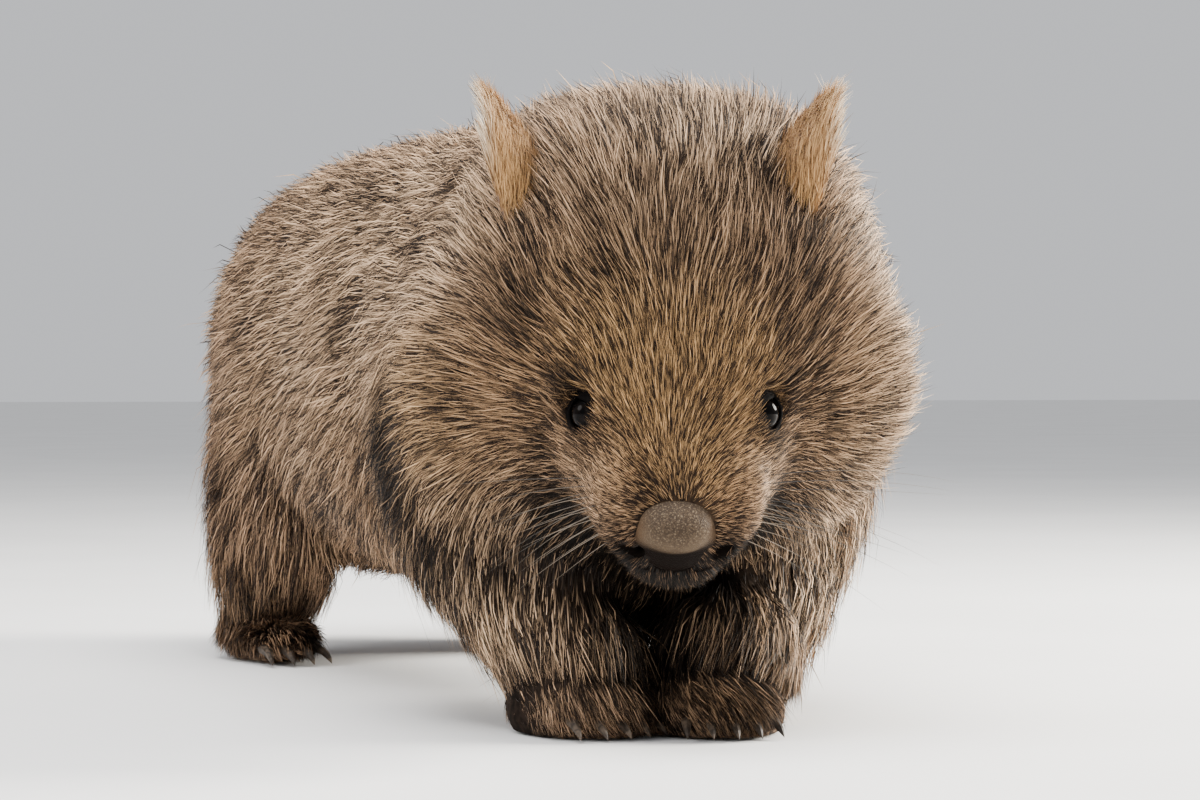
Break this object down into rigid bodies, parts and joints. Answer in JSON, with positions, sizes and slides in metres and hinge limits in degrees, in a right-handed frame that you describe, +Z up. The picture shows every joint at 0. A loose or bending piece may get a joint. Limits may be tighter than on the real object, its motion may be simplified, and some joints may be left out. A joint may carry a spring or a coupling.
{
  "type": "wombat",
  "caption": "Life-size still model of a walking wombat with a broad lowered head, short legs, a shaggy brown coat and flat soles.",
  "frame": {"origin": "on the floor under the middle of the animal's box", "axes": "+Z up, -Y the way the body faces, +X the animal's left side; the head is turned 18 degrees to the animal's right and tipped 35 degrees down"},
  "size_m": [0.3088, 0.7632, 0.3299],
  "materials": {
    "coat": "coarse agouti fur, dark grey-brown at the root and tan at the tip",
    "leg_coat": "long shaggy grey fur, near black at the root and silvery at the tip",
    "ear_fur": "short tan fur with a cream fringe",
    "nose_leather": "granular grey-brown skin with a dull sheen",
    "eye": "wet gloss",
    "claw": "worn dark horn"
  },
  "bodies": {
    "root": {"belly": "coat", "chest": "coat", "ear_left": "ear_fur", "ear_right": "ear_fur", "eye_left": "eye", "eye_right": "eye", "forefoot_left": "leg_coat", "forefoot_left_claw_1": "claw", "forefoot_left_claw_2": "claw", "forefoot_left_claw_3": "claw", "forefoot_left_claw_4": "claw", "forefoot_left_claw_5": "claw", "forefoot_right": "leg_coat", "forefoot_right_claw_1": "claw", "forefoot_right_claw_2": "claw", "forefoot_right_claw_3": "claw", "forefoot_right_claw_4": "claw", "forefoot_right_claw_5": "claw", "foreleg_left": "leg_coat", "foreleg_right": "leg_coat", "head": "coat", "hindfoot_left": "leg_coat", "hindfoot_left_claw_1": "claw", "hindfoot_left_claw_2": "claw", "hindfoot_left_claw_3": "claw", "hindfoot_left_claw_4": "claw", "hindfoot_right": "leg_coat", "hindfoot_right_claw_1": "claw", "hindfoot_right_claw_2": "claw", "hindfoot_right_claw_3": "claw", "hindfoot_right_claw_4": "claw", "hindleg_left": "leg_coat", "hindleg_right": "leg_coat", "lower_jaw": "coat", "neck": "coat", "nose": "nose_leather", "rump": "coat", "tail": "coat"}
  },
  "joints": []
}
